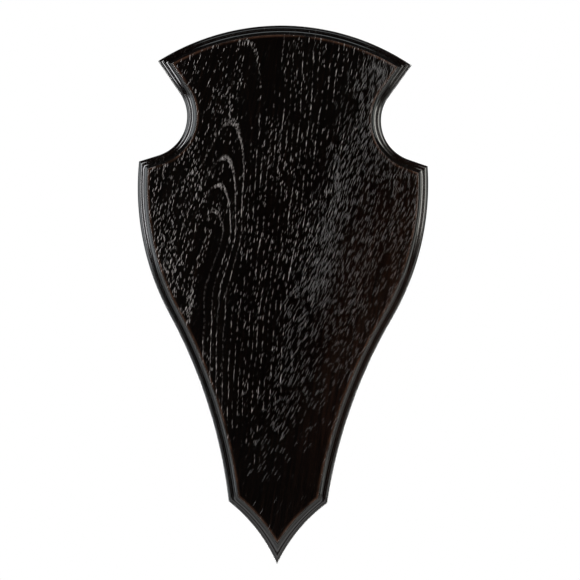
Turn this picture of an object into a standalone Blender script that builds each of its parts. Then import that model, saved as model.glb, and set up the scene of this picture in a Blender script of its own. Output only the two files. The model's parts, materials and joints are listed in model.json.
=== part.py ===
"""A pointed wooden wall plaque with a moulded edge, for mounting a small trophy.

One oak board, a folded strap hanger with a swinging D-ring let into a pocket in its back, the two
screws that hold the strap, and three felt pads that keep the board off the wall.

Frame: metres, +Z up, +X to the right as seen from the front, and the front faces -Y. The origin is
on the wall plane (the outer faces of the felt pads), at the middle of the board's height and width.
Profiles are worked out in the X,Z plane, travelling anticlockwise with the wood on the left.
"""

import math

import bmesh
import bpy
from mathutils import Vector

MM = 0.001

# Board outline
HEIGHT = 280 * MM
SHOULDER_WIDTH = 150 * MM  # across the two shoulder corners, under the notches
EAR_INSET = 9.1 * MM  # how far each ear tip stands inside its shoulder
POINT_WIDTH = 51.2 * MM  # across the two lower corners
POINT_HEIGHT = 32.2 * MM  # from the bottom tip up to the lower corners
POINT_HOLLOW = 2.6 * MM  # how far each edge of the point bows in from straight
TOP_RISE = 19.5 * MM  # how far the top arc rises above the ear tips
NOTCH_RADIUS = 21.3 * MM
NOTCH_CENTRE_INSET = 3.3 * MM  # from the shoulder corner in to the notch's centre
NOTCH_RISE = 2.2 * MM  # from the shoulder corner up to the bottom of the round part
EAR_RISE = 7.5 * MM  # from the top of the round part up to the ear tip
FLANK_RADIUS = 270 * MM  # of the hollow lower half of each side; the full upper half follows from it
LOWER_LEAN = math.radians(7.6)  # the side flares outwards by this where it leaves the lower corner
SHOULDER_LEAN = math.radians(4.8)  # and leans back in by this where it reaches the shoulder
CURVE_TOLERANCE = 0.03 * MM

# Board section
BOARD_THICKNESS = 16 * MM
BEAD_RADIUS = 2.2 * MM  # the rounded outer member of the moulding
STEP_RISE = 0.4 * MM
COVE_RADIUS = 3.0 * MM  # the hollow inner member
COVE_FILLET = 0.3 * MM  # the short upright wall between the cove and the face
ARRIS_CHAMFER = 0.25 * MM
BACK_CHAMFER = 0.6 * MM
ARC_STEPS = 5

# Fits
SEAT_GAP = 0.3 * MM  # glue film or seating gap between a piece and what it rests on
HINGE_GAP = 0.25 * MM  # all round the ring's leg inside the knuckle
SCREW_GAP = 0.3 * MM  # all round a screw's thread

# Felt pads
PAD_THICKNESS = 2.0 * MM
PAD_RADIUS = 6.0 * MM
PAD_EDGE = 0.4 * MM
SIDE_PAD_INSET = 23 * MM  # from a shoulder corner in to the pad under it
SIDE_PAD_DROP = 30 * MM  # and down to it
LOWER_PAD_RISE = 12 * MM  # from the lower corners up to the pad over the point

# Hanger
HANGER_DROP = 65 * MM  # from the top of the board down to the ring's pivot
STRAP_THICKNESS = 1.0 * MM
STRAP_WIDTH = 12 * MM
STRAP_END = 5.5 * MM  # from the lower screw to the strap's end
STRAP_CORNER = 2.5 * MM
KNUCKLE_SWEEP = math.radians(290)
WIRE_RADIUS = 1.0 * MM
RING_ARM = 6.5 * MM  # straight length of each arm, measured from the pivot
RING_CORNER = 1.8 * MM  # bend between the leg in the knuckle and each arm
RING_SIDE_ROOM = 1.2 * MM  # between the knuckle's end and the bend

# Screws
THREAD_RADIUS = 1.5 * MM
THREAD_DEPTH = 0.4 * MM
THREAD_PITCH = 1.1 * MM
HEAD_RADIUS = 2.8 * MM
HEAD_HEIGHT = 1.9 * MM
HEAD_ROOM = 1.2 * MM  # between the ring as it hangs and the upper screw's head
SCREW_SPACING = 10 * MM
PILOT_COVER = 3.5 * MM  # wood between the straight part of a pilot hole and the board's face
DRILL_POINT = math.radians(31)  # slope of the cone at the end of a drilled hole
RECESS_LENGTH = 3.2 * MM
RECESS_WIDTH = 0.7 * MM
RECESS_DEPTH = 1.2 * MM
RECESS_TAPER = 0.45  # how much larger the recess is at the mouth, and smaller at the bottom

# Pocket in the back
POCKET_COVER = 0.7 * MM  # how far the knuckle stands below the board's back
POCKET_SIDE_ROOM = 4.0 * MM  # between the ring's arms and the pocket's sides
POCKET_TOP_ROOM = 5.5 * MM  # over the ring when it is turned up
POCKET_END_ROOM = 4.0 * MM  # under the strap's lower end

# Sizes and places that follow
BACK_Y = -(PAD_THICKNESS + SEAT_GAP)
FRONT_Y = BACK_Y - BOARD_THICKNESS
TOP_Z = HEIGHT / 2
TIP_Z = -HEIGHT / 2
EAR_Z = TOP_Z - TOP_RISE
SHOULDER_Z = EAR_Z - EAR_RISE - 2 * NOTCH_RADIUS - NOTCH_RISE
LOWER_Z = TIP_Z + POINT_HEIGHT
SHOULDER_X = SHOULDER_WIDTH / 2
EAR_X = SHOULDER_X - EAR_INSET
LOWER_X = POINT_WIDTH / 2
KNUCKLE_INNER = WIRE_RADIUS + HINGE_GAP
KNUCKLE_OUTER = KNUCKLE_INNER + STRAP_THICKNESS
POCKET_DEPTH = SEAT_GAP + 2 * KNUCKLE_OUTER + POCKET_COVER
POCKET_FLOOR_Y = BACK_Y - POCKET_DEPTH
STRAP_Y = POCKET_FLOOR_Y + SEAT_GAP  # the strap's face on the pocket floor
PIVOT_Y = STRAP_Y + KNUCKLE_OUTER
PIVOT_Z = TOP_Z - HANGER_DROP
RING_HALF_WIDTH = STRAP_WIDTH / 2 + RING_SIDE_ROOM + RING_CORNER  # to the middle of the wire
RING_REACH = RING_ARM + RING_HALF_WIDTH + WIRE_RADIUS
UPPER_SCREW_Z = PIVOT_Z - RING_REACH - HEAD_ROOM - HEAD_RADIUS
LOWER_SCREW_Z = UPPER_SCREW_Z - SCREW_SPACING
SCREW_HEIGHTS = {"upper": UPPER_SCREW_Z, "lower": LOWER_SCREW_Z}
STRAP_END_Z = LOWER_SCREW_Z - STRAP_END
PILOT_DEPTH = BOARD_THICKNESS - POCKET_DEPTH - PILOT_COVER
SCREW_LENGTH = STRAP_THICKNESS + 2 * SEAT_GAP + PILOT_DEPTH - SCREW_GAP  # under the head


class Line:
    """A straight stretch of outline from one point to another."""

    def __init__(self, start, end):
        self.start, self.end = start, end

    def steps(self):
        return 1

    def gap(self, point):
        """The signed distance from the line, and the direction in which it grows."""
        along = (self.end - self.start).normalized()
        normal = Vector((-along.y, along.x))
        return (point - self.start).dot(normal), normal

    def moved_in(self, distance):
        _, normal = self.gap(self.start)
        return Line(self.start + normal * distance, self.end + normal * distance)

    def between(self, start, end, steps):
        return [start.lerp(end, i / steps) for i in range(steps)]


class Arc:
    """A round stretch of outline. A positive sweep turns anticlockwise, so its centre is in the wood."""

    def __init__(self, centre, radius, start_angle, sweep):
        self.centre, self.radius, self.start_angle, self.sweep = centre, radius, start_angle, sweep

    def at(self, angle):
        return self.centre + Vector((math.cos(angle), math.sin(angle))) * self.radius

    @property
    def start(self):
        return self.at(self.start_angle)

    @property
    def end(self):
        return self.at(self.start_angle + self.sweep)

    def steps(self):
        widest = 2 * math.acos(1 - CURVE_TOLERANCE / self.radius)
        return max(2, math.ceil(abs(self.sweep) / widest))

    def gap(self, point):
        out = point - self.centre
        return out.length - self.radius, out.normalized()

    def moved_in(self, distance):
        radius = self.radius - math.copysign(distance, self.sweep)
        return Arc(self.centre, radius, self.start_angle, self.sweep)

    def between(self, start, end, steps):
        first = angle_of(start - self.centre)
        sweep = angle_of(end - self.centre) - first
        sweep += math.tau * round((self.sweep - sweep) / math.tau)
        return [self.at(first + sweep * i / steps) for i in range(steps)]


def angle_of(vector):
    return math.atan2(vector.y, vector.x)


def heading(angle):
    return Vector((math.cos(angle), math.sin(angle)))


def arc_leaving(start, direction, end):
    """The arc that leaves start in a direction and ends at end."""
    chord = end - start
    normal = Vector((-direction.y, direction.x))
    radius = chord.length_squared / (2 * chord.dot(normal))
    centre = start + normal * radius
    sweep = 2 * math.copysign(direction.angle(chord), radius)
    return Arc(centre, abs(radius), angle_of(start - centre), sweep)


def arc_with_rise(start, end, rise):
    """The arc from start to end that bows out to the right of the way there by rise."""
    half_chord = (end - start).length / 2
    half_angle = 2 * math.atan(rise / half_chord)
    chord_angle = angle_of(end - start)
    return arc_leaving(start, heading(chord_angle - half_angle), end)


def flank(lower, shoulder):
    """The side between them: a hollow arc out of the lower corner, then a full arc that carries it on."""
    leave, arrive = heading(math.pi / 2 - LOWER_LEAN), heading(math.pi / 2 + SHOULDER_LEAN)
    hollow_centre = lower + Vector((leave.y, -leave.x)) * FLANK_RADIUS
    inward = Vector((-arrive.y, arrive.x))
    across = shoulder - hollow_centre
    excess = across.length_squared - FLANK_RADIUS**2
    full_radius = excess / (2 * (FLANK_RADIUS - inward.dot(across)))
    full_centre = shoulder + inward * full_radius
    between = (full_centre - hollow_centre).normalized()
    middle = hollow_centre + between * FLANK_RADIUS
    return [arc_leaving(lower, leave, middle), arc_leaving(middle, Vector((between.y, -between.x)), shoulder)]


def touch_point(outside, centre, radius, side):
    """Where a line from an outside point touches a circle. side is 1 or -1."""
    to_point = outside - centre
    angle = angle_of(to_point) + side * math.acos(radius / to_point.length)
    return centre + heading(angle) * radius


def notch(shoulder, ear):
    """A straight shoulder, the round hollow, and the straight underside of the ear."""
    centre = shoulder + Vector((-NOTCH_CENTRE_INSET, NOTCH_RISE + NOTCH_RADIUS))
    low = touch_point(shoulder, centre, NOTCH_RADIUS, -1)
    high = touch_point(ear, centre, NOTCH_RADIUS, 1)
    low_angle, high_angle = angle_of(low - centre), angle_of(high - centre)
    sweep = -((low_angle - high_angle) % math.tau)
    return [Line(shoulder, low), Arc(centre, NOTCH_RADIUS, low_angle, sweep), Line(high, ear)]


def mirrored(stretch):
    """The same stretch on the other side of the board, travelled the other way."""
    if isinstance(stretch, Line):
        return Line(flip(stretch.end), flip(stretch.start))
    last_angle = stretch.start_angle + stretch.sweep
    return Arc(flip(stretch.centre), stretch.radius, math.pi - last_angle, stretch.sweep)


def flip(point):
    return Vector((-point.x, point.y))


def outline_sides():
    """The board's seven sides between its corners, anticlockwise from the bottom tip."""
    tip, lower = Vector((0, TIP_Z)), Vector((LOWER_X, LOWER_Z))
    shoulder, ear = Vector((SHOULDER_X, SHOULDER_Z)), Vector((EAR_X, EAR_Z))
    point = [arc_with_rise(tip, lower, -POINT_HOLLOW)]
    right = [point, flank(lower, shoulder), notch(shoulder, ear)]
    top = [arc_with_rise(ear, flip(ear), TOP_RISE)]
    left = [[mirrored(s) for s in reversed(side)] for side in reversed(right)]
    return [*right, top, *left]


def meeting(first, second, near):
    """The point where two stretches, carried on as far as needed, cross near a point."""
    point = near.copy()
    for _ in range(12):
        gap_a, way_a = first.gap(point)
        gap_b, way_b = second.gap(point)
        cross = way_a.x * way_b.y - way_a.y * way_b.x
        point.x -= (gap_a * way_b.y - gap_b * way_a.y) / cross
        point.y -= (gap_b * way_a.x - gap_a * way_b.x) / cross
    return point


def outline_ring(inset):
    """Points round the outline, moved in by inset, with every corner mitred."""
    sides = outline_sides()
    moved = [[s.moved_in(inset) for s in side] for side in sides]
    corners = [meeting(moved[i - 1][-1], moved[i][0], sides[i][0].start) for i in range(len(sides))]
    ring = []
    for i, side in enumerate(moved):
        stops = [corners[i], *(s.start for s in side[1:]), corners[(i + 1) % len(sides)]]
        for stretch, plain, start, end in zip(side, sides[i], stops, stops[1:]):
            ring += stretch.between(start, end, plain.steps())
    return ring


def moulding_section():
    """The edge's section as (inset from the outline, depth from the face), from the face to the back."""
    quarter = [math.pi / 2 * i / ARC_STEPS for i in range(ARC_STEPS + 1)]
    cove_inset = BEAD_RADIUS + COVE_RADIUS
    cove_depth = ARRIS_CHAMFER + COVE_FILLET
    section = [(cove_inset + ARRIS_CHAMFER, 0), (cove_inset, ARRIS_CHAMFER)]
    for angle in quarter:
        inset = cove_inset - COVE_RADIUS * (1 - math.cos(angle))
        section.append((inset, cove_depth + COVE_RADIUS * math.sin(angle)))
    bead_depth = cove_depth + COVE_RADIUS + STEP_RISE
    for angle in quarter:
        inset = BEAD_RADIUS * (1 - math.sin(angle))
        section.append((inset, bead_depth + BEAD_RADIUS * (1 - math.cos(angle))))
    section += [(0, BOARD_THICKNESS - BACK_CHAMFER), (BACK_CHAMFER, BOARD_THICKNESS)]
    return section


def new_object(name, bm, material, sharp_degrees=35):
    mesh = bpy.data.meshes.new(name)
    bmesh.ops.recalc_face_normals(bm, faces=bm.faces)
    bm.to_mesh(mesh)
    bm.free()
    mesh.shade_smooth()
    mesh.set_sharp_from_angle(angle=math.radians(sharp_degrees))
    mesh.materials.append(material)
    obj = bpy.data.objects.new(name, mesh)
    bpy.context.collection.objects.link(obj)
    return obj


def make_material(name, colour, roughness, metallic=0.0):
    material = bpy.data.materials.new(name)
    material.use_nodes = True
    shader = material.node_tree.nodes["Principled BSDF"]
    shader.inputs["Base Color"].default_value = (*colour, 1)
    shader.inputs["Roughness"].default_value = roughness
    shader.inputs["Metallic"].default_value = metallic
    return material


def skin(bm, rings):
    """Faces between rings of equal length, and a flat cap on the first and the last."""
    loops = [[bm.verts.new(point) for point in ring] for ring in rings]
    count = len(loops[0])
    for ring, following in zip(loops, loops[1:]):
        for i in range(count):
            j = (i + 1) % count
            bm.faces.new((ring[i], ring[j], following[j], following[i]))
    bm.faces.new(loops[0])
    bm.faces.new(loops[-1])


def turned(profile, segments):
    """A solid turned about +Z from (radius, height) points."""
    bm = bmesh.new()
    turns = [math.tau * i / segments for i in range(segments)]
    skin(bm, [[(r * math.cos(a), r * math.sin(a), z) for a in turns] for r, z in profile])
    return bm


def prism(points, low, high):
    """A solid of constant section in the X,Z plane, from depth low to depth high in Y."""
    bm = bmesh.new()
    skin(bm, [[(p.x, y, p.y) for p in points] for y in (low, high)])
    return bm


def cut(obj, cutter):
    """Subtracts a cutter, which stays in the scene as a hidden guide."""
    cutter.hide_render = True
    cutter.display_type = "WIRE"
    modifier = obj.modifiers.new("Cut_" + cutter.name, "BOOLEAN")
    modifier.operation = "DIFFERENCE"
    modifier.object = cutter


def evaluated_mesh(obj):
    graph = bpy.context.evaluated_depsgraph_get()
    return bpy.data.meshes.new_from_object(obj.evaluated_get(graph))


def place_along_y(obj, x, y, z):
    """Turns a piece made along +Z to point at the wall, and puts it in place."""
    obj.rotation_euler = (-math.pi / 2, 0, 0)
    obj.location = (x, y, z)


def pocket_points():
    """A slot with round ends, wide enough for the ring to lie turned up or down inside it."""
    radius = RING_HALF_WIDTH + WIRE_RADIUS + POCKET_SIDE_ROOM
    top = PIVOT_Z + RING_REACH + POCKET_TOP_ROOM - radius
    bottom = STRAP_END_Z - POCKET_END_ROOM + radius
    ends = [Arc(Vector((0, top)), radius, 0, math.pi), Arc(Vector((0, bottom)), radius, math.pi, math.pi)]
    points = []
    for end in ends:
        points += [*end.between(end.start, end.end, end.steps()), end.end]
    return points


def make_board(material):
    rings = []
    for inset, depth in moulding_section():
        rings.append([(p.x, FRONT_Y + depth, p.y) for p in outline_ring(inset)])
    bm = bmesh.new()
    skin(bm, rings)
    board = new_object("board", bm, material)
    beyond = PAD_THICKNESS
    cutter = new_object("pocket_cutter", prism(pocket_points(), POCKET_FLOOR_Y, BACK_Y + beyond), material)
    cut(board, cutter)
    radius = THREAD_RADIUS + SCREW_GAP
    tip_radius = radius / 4
    point = (radius - tip_radius) * math.tan(DRILL_POINT)
    profile = [(tip_radius, -PILOT_DEPTH - point), (radius, -PILOT_DEPTH), (radius, STRAP_THICKNESS)]
    for name, z in SCREW_HEIGHTS.items():
        hole = new_object(f"pilot_cutter_{name}", turned(profile, 20), material)
        place_along_y(hole, 0, POCKET_FLOOR_Y, z)
        cut(board, hole)
    return board


def strap_section():
    """The strap's side view as (Z, Y): a flat plate whose upper end is rolled round the ring's leg."""
    steps = 24
    angles = [-math.pi / 2 + KNUCKLE_SWEEP * i / steps for i in range(steps + 1)]
    pivot = Vector((PIVOT_Z, PIVOT_Y))
    outer = [pivot + heading(a) * KNUCKLE_OUTER for a in angles]
    inner = [pivot + heading(a) * KNUCKLE_INNER for a in reversed(angles)]
    low, high = Vector((STRAP_END_Z, STRAP_Y)), Vector((STRAP_END_Z, STRAP_Y + STRAP_THICKNESS))
    return [low, *outer, *inner, high]


def is_strap_corner(first, second):
    """True for the two edges that run through the strap's thickness at its lower end."""
    tolerance = STRAP_THICKNESS / 100
    across = abs(first.co.x - second.co.x)
    return across < tolerance and max(first.co.z, second.co.z) < STRAP_END_Z + tolerance


def make_strap(material):
    half = STRAP_WIDTH / 2
    bm = bmesh.new()
    skin(bm, [[(x, p.y, p.x) for p in strap_section()] for x in (-half, half)])
    corners = [edge for edge in bm.edges if is_strap_corner(*edge.verts)]
    bmesh.ops.bevel(bm, geom=corners, offset=STRAP_CORNER, segments=6, profile=0.5, affect="EDGES")
    strap = new_object("hanger_strap", bm, material)
    radius = THREAD_RADIUS + SCREW_GAP
    profile = [(radius, -STRAP_THICKNESS), (radius, 2 * STRAP_THICKNESS)]
    for name, z in SCREW_HEIGHTS.items():
        hole = new_object(f"strap_hole_cutter_{name}", turned(profile, 24), material)
        place_along_y(hole, 0, STRAP_Y, z)
        cut(strap, hole)
    return strap


def ring_path():
    """The D-ring's centre line hanging down from its pivot, as (X, Z) from the pivot."""
    corner, half = RING_CORNER, RING_HALF_WIDTH
    bends = [
        (Vector((-half + corner, -corner)), corner, math.pi / 2, math.pi / 2, 5),
        (Vector((0, -RING_ARM)), half, math.pi, math.pi, 18),
        (Vector((half - corner, -corner)), corner, 0, math.pi / 2, 5),
    ]
    points = []
    for centre, radius, start, sweep, steps in bends:
        points += [centre + heading(start + sweep * i / steps) * radius for i in range(steps + 1)]
    return points


def make_ring(material):
    curve = bpy.data.curves.new("hanger_ring", "CURVE")
    curve.dimensions = "3D"
    curve.bevel_depth = WIRE_RADIUS
    curve.bevel_resolution = 3
    curve.materials.append(material)
    spline = curve.splines.new("POLY")
    path = ring_path()
    spline.points.add(len(path) - 1)
    for point, place in zip(spline.points, path):
        point.co = (place.x, 0, place.y, 1)
    spline.use_cyclic_u = True
    ring = bpy.data.objects.new("hanger_ring", curve)
    bpy.context.collection.objects.link(ring)
    pivot = bpy.data.objects.new("ring_pivot", None)
    pivot.location = (0, PIVOT_Y, PIVOT_Z)
    bpy.context.collection.objects.link(pivot)
    ring.parent = pivot
    return ring


def screw_profile():
    """(radius, height) from the point up to the top of the pan head, with the head's underside at 0."""
    root = THREAD_RADIUS - THREAD_DEPTH
    profile = [(root / 4, -SCREW_LENGTH)]
    crest = -SCREW_LENGTH + 1.5 * THREAD_PITCH
    while crest < -THREAD_PITCH:
        third = THREAD_PITCH / 3
        profile += [(root, crest - third), (THREAD_RADIUS, crest), (root, crest + third)]
        crest += THREAD_PITCH
    profile += [(root, 0), (HEAD_RADIUS, 0)]
    side, flat = 0.35 * HEAD_HEIGHT, HEAD_RADIUS / 2
    for i in range(ARC_STEPS + 1):
        angle = math.pi / 2 * i / ARC_STEPS
        radius = flat + (HEAD_RADIUS - flat) * math.cos(angle)
        profile.append((radius, side + (HEAD_HEIGHT - side) * math.sin(angle)))
    return profile


def recess_arm(half_x, half_y):
    """One arm of the cross recess: a bar that narrows towards its bottom."""
    bm = bmesh.new()
    corners = [(-half_x, -half_y), (half_x, -half_y), (half_x, half_y), (-half_x, half_y)]
    levels = [
        (HEAD_HEIGHT - RECESS_DEPTH, 1 - RECESS_TAPER),
        (HEAD_HEIGHT + RECESS_DEPTH, 1 + RECESS_TAPER),
    ]
    skin(bm, [[(x * scale, y * scale, z) for x, y in corners] for z, scale in levels])
    return bm


def make_screws(material):
    """Both screws share one mesh."""
    pattern = new_object("screw_pattern", turned(screw_profile(), 20), material)
    long, narrow = RECESS_LENGTH / 2, RECESS_WIDTH / 2
    cut(pattern, new_object("recess_cutter_across", recess_arm(long, narrow), material))
    cut(pattern, new_object("recess_cutter_along", recess_arm(narrow, long), material))
    mesh = evaluated_mesh(pattern)
    bpy.data.objects.remove(pattern)
    for name, z in SCREW_HEIGHTS.items():
        screw = bpy.data.objects.new(f"hanger_screw_{name}", mesh)
        bpy.context.collection.objects.link(screw)
        place_along_y(screw, 0, STRAP_Y + STRAP_THICKNESS + SEAT_GAP, z)


def make_pads(material):
    places = {
        "left": (-(SHOULDER_X - SIDE_PAD_INSET), SHOULDER_Z - SIDE_PAD_DROP),
        "right": (SHOULDER_X - SIDE_PAD_INSET, SHOULDER_Z - SIDE_PAD_DROP),
        "lower": (0, LOWER_Z + LOWER_PAD_RISE),
    }
    profile = [(PAD_RADIUS, -PAD_THICKNESS), (PAD_RADIUS, -PAD_EDGE), (PAD_RADIUS - PAD_EDGE, 0)]
    for name, (x, z) in places.items():
        pad = new_object(f"wall_pad_{name}", turned(profile, 36), material)
        place_along_y(pad, x, 0, z)


def clear_scene():
    for obj in list(bpy.data.objects):
        bpy.data.objects.remove(obj)


def main():
    clear_scene()
    make_board(make_material("stained_oak", (0.012, 0.009, 0.008), 0.35))
    steel = make_material("zinc_steel", (0.62, 0.61, 0.58), 0.35, 1.0)
    make_strap(steel)
    make_ring(steel)
    make_screws(make_material("screw_steel", (0.72, 0.58, 0.30), 0.35, 1.0))
    make_pads(make_material("felt", (0.05, 0.04, 0.035), 0.95))


main()
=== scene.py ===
import cmath
import json
import math
import random
from types import SimpleNamespace

import bmesh
import bpy
from mathutils import Matrix, Vector, noise


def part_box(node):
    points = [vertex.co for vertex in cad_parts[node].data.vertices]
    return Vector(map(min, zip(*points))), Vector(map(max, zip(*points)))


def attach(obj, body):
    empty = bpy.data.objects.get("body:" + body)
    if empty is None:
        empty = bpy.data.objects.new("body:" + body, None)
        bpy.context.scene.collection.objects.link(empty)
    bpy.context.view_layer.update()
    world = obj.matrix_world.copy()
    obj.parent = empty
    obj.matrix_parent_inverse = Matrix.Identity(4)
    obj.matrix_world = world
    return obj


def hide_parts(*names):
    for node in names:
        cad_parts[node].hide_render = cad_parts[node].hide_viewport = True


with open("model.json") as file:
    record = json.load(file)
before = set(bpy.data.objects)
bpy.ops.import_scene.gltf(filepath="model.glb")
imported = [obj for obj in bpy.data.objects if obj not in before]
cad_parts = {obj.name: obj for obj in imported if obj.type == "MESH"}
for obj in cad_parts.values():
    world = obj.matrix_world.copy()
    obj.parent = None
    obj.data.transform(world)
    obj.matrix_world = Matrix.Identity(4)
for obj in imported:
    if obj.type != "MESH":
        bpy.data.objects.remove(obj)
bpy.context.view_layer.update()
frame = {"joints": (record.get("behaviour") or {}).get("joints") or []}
mm = 0.001
quarterTurn = math.pi / 2

# the plaque hangs in the air, with X across, Z up, and the moulded face looking along -Y
boardLow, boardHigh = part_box("board")
faceY, backY = boardLow.y, boardHigh.y


# curves lie in the X,Z plane as complex numbers, x + 1j * z
def sideways(a, b):
    return (a * b.conjugate()).real  # how much of a lies along b


def straight(start, end):
    return {"start": start, "end": end, "radius": 0}


def arcLeaving(start, direction, end):
    chord = end - start
    normal = direction * 1j
    radius = abs(chord) ** 2 / (2 * sideways(chord, normal))  # positive with its centre in the wood
    return {"start": start, "end": end, "radius": radius, "centre": start + normal * radius}


def movedIn(piece, inset):
    if not piece["radius"]:
        way = piece["end"] - piece["start"]
        step = way / abs(way) * 1j * inset
        return straight(piece["start"] + step, piece["end"] + step)
    shrink = (piece["radius"] - inset) / piece["radius"]
    centre = piece["centre"]
    moved = [centre + (piece[at] - centre) * shrink for at in ("start", "end")]
    return {"start": moved[0], "end": moved[1], "radius": piece["radius"] - inset, "centre": centre}


def gapTo(piece, point):
    # signed distance from a stretch, and the way in which it grows
    if not piece["radius"]:
        way = piece["end"] - piece["start"]
        normal = way / abs(way) * 1j
        return sideways(point - piece["start"], normal), normal
    out = point - piece["centre"]
    return abs(out) - abs(piece["radius"]), out / abs(out)


def meeting(first, second, point):
    # Newton's method on the two distances
    for _ in range(12):
        gapA, wayA = gapTo(first, point)
        gapB, wayB = gapTo(second, point)
        cross = (wayA.conjugate() * wayB).imag
        point -= complex(gapA * wayB.imag - gapB * wayA.imag, gapB * wayA.real - gapA * wayB.real) / cross
    return point


def pointsAlong(piece, start, end, steps):
    if not piece["radius"]:
        return [start + (end - start) * i / steps for i in range(steps)]
    centre = piece["centre"]
    turn = cmath.phase((end - centre) / (start - centre))
    return [centre + (start - centre) * cmath.rect(1, turn * i / steps) for i in range(steps)]


def stepsFor(piece, flatness):
    if not piece["radius"]:
        return 1
    turn = cmath.phase((piece["end"] - piece["centre"]) / (piece["start"] - piece["centre"]))
    return max(3, math.ceil(abs(turn) / (2 * math.acos(1 - flatness / abs(piece["radius"])))))


def closedSkin(bm, loops, closeRing=False):
    # quads between loops of equal length, with caps at both ends unless the loops come round again
    rows = [[bm.verts.new(point) for point in loop] for loop in loops]
    pairs = list(zip(rows, rows[1:] + rows[:1])) if closeRing else list(zip(rows, rows[1:]))
    for row, following in pairs:
        for i, vert in enumerate(row):
            j = (i + 1) % len(row)
            bm.faces.new((vert, row[j], following[j], following[i]))
    if not closeRing:
        bm.faces.new(rows[0])
        bm.faces.new(rows[-1])
    return rows


def pieceFrom(name, bm, materials, sharp=32):
    mesh = bpy.data.meshes.new(name)
    bmesh.ops.recalc_face_normals(bm, faces=bm.faces)
    bm.to_mesh(mesh)
    bm.free()
    for material in materials:
        mesh.materials.append(material)
    obj = bpy.data.objects.new(name, mesh)
    bpy.context.scene.collection.objects.link(obj)
    smoothBelow(obj, sharp)
    return obj


def smoothBelow(obj, angle):
    obj.data.shade_smooth()
    obj.data.set_sharp_from_angle(angle=math.radians(angle))


def cutAway(obj, cutters):
    for cutter in cutters:
        cut = obj.modifiers.new("cut", "BOOLEAN")
        cut.object = cutter
        cut.operation = "DIFFERENCE"
        cut.material_mode = "TRANSFER"
    bakeModifiers(obj)
    for cutter in cutters:
        bpy.data.objects.remove(cutter)


def bakeModifiers(obj):
    graph = bpy.context.evaluated_depsgraph_get()
    mesh = bpy.data.meshes.new_from_object(obj.evaluated_get(graph))
    obj.modifiers.clear()
    obj.data = mesh


def turnedLoops(profile, sides):
    # loops about +Z from (radius, height)
    turns = [math.tau * i / sides for i in range(sides)]
    return [[Vector((r * math.cos(a), r * math.sin(a), z)) for a in turns] for r, z in profile]


def facingWall(x, y, z):
    # takes a piece made about +Z and points it at the wall
    return Matrix.Translation((x, y, z)) @ Matrix.Rotation(-quarterTurn, 4, "X")


def setStops(band, stops):
    # fills a colour ramp with (place, colour)
    while len(band.elements) < len(stops):
        band.elements.new(0.5)
    for element, (at, colour) in zip(band.elements, stops):
        element.position = at
        element.color = (*colour, 1)


class Nodes:
    # a short way to write node trees: every call gives back an output socket
    def __init__(self, name):
        self.material = bpy.data.materials.new(name)
        self.material.use_nodes = True
        self.tree = self.material.node_tree
        self.shader = self.tree.nodes["Principled BSDF"]
        place = self.add("ShaderNodeTexCoord").outputs["Object"]
        self.place = self.vector("MULTIPLY", place, (1 / mm, 1 / mm, 1 / mm))  # in millimetres
        split = self.add("ShaderNodeSeparateXYZ", self.place)
        self.x, self.y, self.z = split.outputs

    def add(self, kind, *values, **settings):
        node = self.tree.nodes.new(kind)
        for key, value in settings.items():
            setattr(node, key, value)
        for socket, value in zip(node.inputs, values):
            self.feed(socket, value)
        return node

    def feed(self, socket, value):
        if isinstance(value, bpy.types.NodeSocket):
            self.tree.links.new(value, socket)
        elif value is not None:
            socket.default_value = value

    def set(self, **values):
        # shader sockets by name, written with underscores for spaces
        for key, value in values.items():
            self.feed(self.shader.inputs[key.replace("_", " ")], value)

    def math(self, operation, *values, clamp=False):
        return self.add("ShaderNodeMath", *values, operation=operation, use_clamp=clamp).outputs[0]

    def times(self, first, *others):
        for value in others:
            first = self.math("MULTIPLY", first, value)
        return first

    def most(self, first, *others):
        for value in others:
            first = self.math("MAXIMUM", first, value)
        return first

    def between(self, factor, atZero, atOne):
        # from one value to the other as the factor goes from 0 to 1
        return self.math("MULTIPLY_ADD", factor, atOne - atZero, atZero)

    def vector(self, operation, *values):
        return self.add("ShaderNodeVectorMath", *values, operation=operation).outputs[0]

    def joined(self, x, y, z):
        return self.add("ShaderNodeCombineXYZ", x, y, z).outputs[0]

    def scaled(self, value, *sizes):
        # a place divided by a size in millimetres on each axis
        return self.vector("DIVIDE", value, sizes)

    def noise(self, place, detail=2.0, roughness=0.5):
        node = self.add("ShaderNodeTexNoise", place)
        node.inputs["Scale"].default_value = 1
        node.inputs["Detail"].default_value = detail
        node.inputs["Roughness"].default_value = roughness
        return node.outputs["Fac"]

    def cells(self, place):
        # the distance to the nearest cell's middle, and two chance numbers of that cell
        node = self.add("ShaderNodeTexVoronoi", place)
        node.inputs["Scale"].default_value = 1
        split = self.add("ShaderNodeSeparateColor", node.outputs["Color"])
        return node.outputs["Distance"], split.outputs[0], split.outputs[1]

    def step(self, value, low, high):
        # 0 below low, 1 above high, and the other way round when low is above high
        node = self.add("ShaderNodeMapRange", value, low, high, interpolation_type="SMOOTHSTEP")
        return node.outputs[0]

    def ramp(self, value, stops):
        # stops of a place and a grey level, or of a place and a colour
        node = self.add("ShaderNodeValToRGB", value)
        colours = [(at, [shade] * 3 if isinstance(shade, float) else shade) for at, shade in stops]
        setStops(node.color_ramp, colours)
        return node.outputs[0]

    def mixed(self, factor, first, second):
        node = self.add("ShaderNodeMix", data_type="RGBA")
        for index, value in ((0, factor), (6, first), (7, second)):
            self.feed(node.inputs[index], (*value, 1) if isinstance(value, tuple) else value)
        return node.outputs[2]

    def relief(self, height, depth):
        # height in 0..1, depth in metres
        node = self.add("ShaderNodeBump")
        node.inputs["Distance"].default_value = depth
        self.feed(node.inputs["Height"], height)
        return node.outputs[0]


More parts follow.
